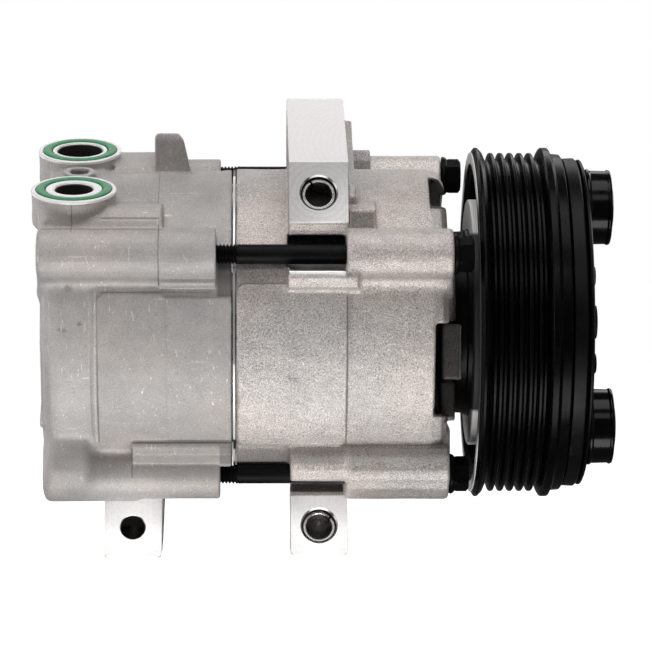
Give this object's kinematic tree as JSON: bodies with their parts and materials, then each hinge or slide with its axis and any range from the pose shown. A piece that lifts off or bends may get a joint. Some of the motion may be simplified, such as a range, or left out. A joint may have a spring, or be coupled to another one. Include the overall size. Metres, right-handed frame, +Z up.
{
  "type": "swash-plate air-conditioning compressor",
  "caption": "Belt-driven swash-plate refrigerant compressor with a clutch pulley, two cast housings, three inclined mounting ears and two hose ports.",
  "frame": {"origin": "on the drive shaft's axis, midway along the whole length", "axes": "+X along the drive shaft towards the clutch, +Z up, -Y towards the side that the mounting ears' faces look at"},
  "size_m": [0.2092, 0.1288, 0.1699],
  "materials": {
    "cast_front": "shot-blasted cast, pinkish grey",
    "cast_rear": "smooth cast, warm grey",
    "machined": "machined",
    "steel": "ground or turned",
    "black_steel": "black semi-matt",
    "black_gloss": "black gloss",
    "black_plastic": "black resin",
    "green_seal": "green rubber-coated washer",
    "ptfe": "filled PTFE"
  },
  "bodies": {
    "housing": {"front_housing": "cast_front", "rear_housing": "cast_rear", "housing_gasket": "steel", "through_bolt_1": "black_steel", "through_bolt_2": "black_steel", "through_bolt_3": "black_steel", "through_bolt_4": "black_steel", "port_seal_front": "green_seal", "port_seal_rear": "green_seal", "top_ear_dowel": "steel", "lower_ear_dowel": "steel", "coil_housing": "black_steel", "coil_winding": "black_plastic", "coil_connector": "black_plastic", "bearing_inner_ring": "steel", "shaft_seal": "black_plastic", "rear_cylinder_block": "machined", "front_cylinder_block": "machined", "rear_shaft_bearing": "steel", "front_shaft_bearing": "steel", "rear_valve_plate": "steel", "front_valve_plate": "steel"},
    "shaft": {"drive_shaft": "steel", "swash_plate": "steel", "clutch_hub": "black_steel", "hub_bolt": "black_steel", "damper_cup_1": "black_gloss", "damper_cup_2": "black_gloss", "damper_cup_3": "black_gloss", "hub_rivet_1": "black_steel", "hub_rivet_2": "black_steel", "hub_rivet_3": "black_steel"},
    "armature": {"armature_plate": "steel", "armature_pin_1": "black_steel", "armature_pin_2": "black_steel", "armature_pin_3": "black_steel"},
    "pulley": {"pulley": "black_gloss", "bearing_outer_ring": "steel"},
    "bearing_cage": {"bearing_balls": "steel"},
    "front_shoe_1": {"front_shoe_1": "steel"},
    "rear_shoe_1": {"rear_shoe_1": "steel"},
    "piston_ring_1": {"piston_ring_1": "ptfe"},
    "piston_1": {"piston_1": "machined"},
    "front_shoe_2": {"front_shoe_2": "steel"},
    "rear_shoe_2": {"rear_shoe_2": "steel"},
    "piston_ring_2": {"piston_ring_2": "ptfe"},
    "piston_2": {"piston_2": "machined"},
    "front_shoe_3": {"front_shoe_3": "steel"},
    "rear_shoe_3": {"rear_shoe_3": "steel"},
    "piston_ring_3": {"piston_ring_3": "ptfe"},
    "piston_3": {"piston_3": "machined"},
    "front_shoe_4": {"front_shoe_4": "steel"},
    "rear_shoe_4": {"rear_shoe_4": "steel"},
    "piston_ring_4": {"piston_ring_4": "ptfe"},
    "piston_4": {"piston_4": "machined"},
    "front_shoe_5": {"front_shoe_5": "steel"},
    "rear_shoe_5": {"rear_shoe_5": "steel"},
    "piston_ring_5": {"piston_ring_5": "ptfe"},
    "piston_5": {"piston_5": "machined"}
  },
  "joints": [
    {"name": "shaft_spin", "type": "hinge", "parent": "housing", "child": "shaft", "pos_m": [-0.0326, 0, 0], "axis": [1, 0, 0], "continuous": true},
    {"name": "armature_slide", "type": "slide", "parent": "shaft", "child": "armature", "axis": [1, 0, 0], "range_m": [-0.0005, 0]},
    {"name": "pulley_spin", "type": "hinge", "parent": "housing", "child": "pulley", "pos_m": [-0.0326, 0, 0], "axis": [1, 0, 0], "continuous": true},
    {"name": "cage_spin", "type": "hinge", "parent": "housing", "child": "bearing_cage", "pos_m": [-0.0326, 0, 0], "axis": [1, 0, 0], "continuous": true},
    {"name": "front_shoe_glide_1", "type": "hinge", "parent": "shaft", "child": "front_shoe_1", "pos_m": [-0.0311, 0, 0], "axis": [0.9613, 0, -0.2756], "continuous": true},
    {"name": "rear_shoe_swivel_1", "type": "hinge", "parent": "front_shoe_1", "child": "rear_shoe_1", "pos_m": [-0.02098, 0, 0.03529], "axis": [0.9613, 0, -0.2756], "continuous": true},
    {"name": "piston_ring_carry_1", "type": "hinge", "parent": "rear_shoe_1", "child": "piston_ring_1", "pos_m": [-0.02098, 0, 0.03529], "axis": [1, 0, 0], "continuous": true},
    {"name": "piston_stroke_1", "type": "hinge", "parent": "piston_ring_1", "child": "piston_1", "pos_m": [-0.02098, 0, 0.036], "axis": [1, 0, 0], "continuous": true},
    {"name": "front_shoe_glide_2", "type": "hinge", "parent": "shaft", "child": "front_shoe_2", "pos_m": [-0.0311, 0, 0], "axis": [0.9613, 0, -0.2756], "continuous": true},
    {"name": "rear_shoe_swivel_2", "type": "hinge", "parent": "front_shoe_2", "child": "rear_shoe_2", "pos_m": [-0.02797, 0.03491, 0.0109], "axis": [0.9613, 0, -0.2756], "continuous": true},
    {"name": "piston_ring_carry_2", "type": "hinge", "parent": "rear_shoe_2", "child": "piston_ring_2", "pos_m": [-0.02797, 0.03491, 0.0109], "axis": [1, 0, 0], "continuous": true},
    {"name": "piston_stroke_2", "type": "hinge", "parent": "piston_ring_2", "child": "piston_2", "pos_m": [-0.02797, 0.03424, 0.01112], "axis": [1, 0, 0], "continuous": true},
    {"name": "front_shoe_glide_3", "type": "hinge", "parent": "shaft", "child": "front_shoe_3", "pos_m": [-0.0311, 0, 0], "axis": [0.9613, 0, -0.2756], "continuous": true},
    {"name": "rear_shoe_swivel_3", "type": "hinge", "parent": "front_shoe_3", "child": "rear_shoe_3", "pos_m": [-0.03929, 0.02158, -0.02855], "axis": [0.9613, 0, -0.2756], "continuous": true},
    {"name": "piston_ring_carry_3", "type": "hinge", "parent": "rear_shoe_3", "child": "piston_ring_3", "pos_m": [-0.03929, 0.02158, -0.02855], "axis": [1, 0, 0], "continuous": true},
    {"name": "piston_stroke_3", "type": "hinge", "parent": "piston_ring_3", "child": "piston_3", "pos_m": [-0.03929, 0.02116, -0.02912], "axis": [1, 0, 0], "continuous": true},
    {"name": "front_shoe_glide_4", "type": "hinge", "parent": "shaft", "child": "front_shoe_4", "pos_m": [-0.0311, 0, 0], "axis": [0.9613, 0, -0.2756], "continuous": true},
    {"name": "rear_shoe_swivel_4", "type": "hinge", "parent": "front_shoe_4", "child": "rear_shoe_4", "pos_m": [-0.03929, -0.02158, -0.02855], "axis": [0.9613, 0, -0.2756], "continuous": true},
    {"name": "piston_ring_carry_4", "type": "hinge", "parent": "rear_shoe_4", "child": "piston_ring_4", "pos_m": [-0.03929, -0.02158, -0.02855], "axis": [1, 0, 0], "continuous": true},
    {"name": "piston_stroke_4", "type": "hinge", "parent": "piston_ring_4", "child": "piston_4", "pos_m": [-0.03929, -0.02116, -0.02912], "axis": [1, 0, 0], "continuous": true},
    {"name": "front_shoe_glide_5", "type": "hinge", "parent": "shaft", "child": "front_shoe_5", "pos_m": [-0.0311, 0, 0], "axis": [0.9613, 0, -0.2756], "continuous": true},
    {"name": "rear_shoe_swivel_5", "type": "hinge", "parent": "front_shoe_5", "child": "rear_shoe_5", "pos_m": [-0.02797, -0.03491, 0.0109], "axis": [0.9613, 0, -0.2756], "continuous": true},
    {"name": "piston_ring_carry_5", "type": "hinge", "parent": "rear_shoe_5", "child": "piston_ring_5", "pos_m": [-0.02797, -0.03491, 0.0109], "axis": [1, 0, 0], "continuous": true},
    {"name": "piston_stroke_5", "type": "hinge", "parent": "piston_ring_5", "child": "piston_5", "pos_m": [-0.02797, -0.03424, 0.01112], "axis": [1, 0, 0], "continuous": true}
  ],
  "couplings": [
    {"joint": "cage_spin", "follows": "pulley_spin", "ratio": 0.5529},
    {"joint": "front_shoe_glide_1", "follows": "shaft_spin", "ratio": -1},
    {"joint": "rear_shoe_swivel_1", "follows": "shaft_spin", "ratio": 1},
    {"joint": "piston_ring_carry_1", "follows": "shaft_spin", "ratio": 1},
    {"joint": "piston_stroke_1", "follows": "shaft_spin", "ratio": -2},
    {"joint": "front_shoe_glide_2", "follows": "shaft_spin", "ratio": -1},
    {"joint": "rear_shoe_swivel_2", "follows": "shaft_spin", "ratio": 1},
    {"joint": "piston_ring_carry_2", "follows": "shaft_spin", "ratio": 1},
    {"joint": "piston_stroke_2", "follows": "shaft_spin", "ratio": -2},
    {"joint": "front_shoe_glide_3", "follows": "shaft_spin", "ratio": -1},
    {"joint": "rear_shoe_swivel_3", "follows": "shaft_spin", "ratio": 1},
    {"joint": "piston_ring_carry_3", "follows": "shaft_spin", "ratio": 1},
    {"joint": "piston_stroke_3", "follows": "shaft_spin", "ratio": -2},
    {"joint": "front_shoe_glide_4", "follows": "shaft_spin", "ratio": -1},
    {"joint": "rear_shoe_swivel_4", "follows": "shaft_spin", "ratio": 1},
    {"joint": "piston_ring_carry_4", "follows": "shaft_spin", "ratio": 1},
    {"joint": "piston_stroke_4", "follows": "shaft_spin", "ratio": -2},
    {"joint": "front_shoe_glide_5", "follows": "shaft_spin", "ratio": -1},
    {"joint": "rear_shoe_swivel_5", "follows": "shaft_spin", "ratio": 1},
    {"joint": "piston_ring_carry_5", "follows": "shaft_spin", "ratio": 1},
    {"joint": "piston_stroke_5", "follows": "shaft_spin", "ratio": -2}
  ]
}
